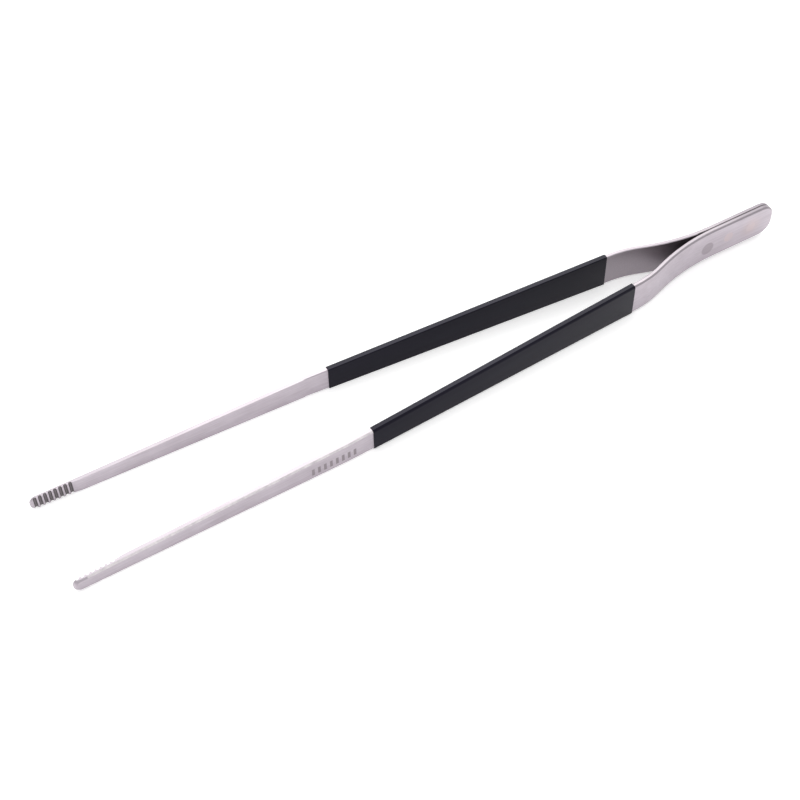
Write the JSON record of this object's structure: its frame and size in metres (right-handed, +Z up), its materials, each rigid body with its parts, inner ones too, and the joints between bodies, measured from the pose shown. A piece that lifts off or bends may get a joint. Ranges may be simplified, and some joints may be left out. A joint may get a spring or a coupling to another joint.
{
  "type": "grill tweezer tongs",
  "caption": "Long spring-steel tweezer tongs: flat tapered strips welded face to face at the head, S-shaped spring bends, black grip sleeves and grooved tips.",
  "frame": {"origin": "centre of the bounding box in plan, at the level of the lower edges of the grip sleeves, on which the tongs stand", "axes": "+X along the tongs towards the welded head, tips towards -X; +Y towards the right arm as seen from the head; +Z up, across the widths of the strips"},
  "size_m": [0.42, 0.0558, 0.0221],
  "materials": {
    "steel": "lengthwise brushed satin stainless steel",
    "grip": "satin black moulded plastic sleeve",
    "weld": "fused steel, slightly heat-tinted"
  },
  "bodies": {
    "head": {"left_tang": "steel", "right_tang": "steel", "left_spring_bend": "steel", "right_spring_bend": "steel", "spot_welds": "weld"},
    "left_side": {"left_arm": "steel", "left_grip": "grip"},
    "right_side": {"right_arm": "steel", "right_grip": "grip"}
  },
  "joints": [
    {"name": "left_arm_flex", "type": "hinge", "parent": "head", "child": "left_side", "pos_m": [0.12765, -0.00918, 0.0107], "axis": [0.02, 0, -0.9998], "range_deg": [0, 4.33], "stiffness_Nm_per_rad": 45, "deforming": ["left_spring_bend"]},
    {"name": "right_arm_flex", "type": "hinge", "parent": "head", "child": "right_side", "pos_m": [0.12765, 0.00918, 0.0107], "axis": [-0.02, 0, 0.9998], "range_deg": [0, 4.33], "stiffness_Nm_per_rad": 45, "deforming": ["right_spring_bend"]}
  ],
  "couplings": [
    {"joint": "right_arm_flex", "follows": "left_arm_flex", "ratio": 1}
  ]
}
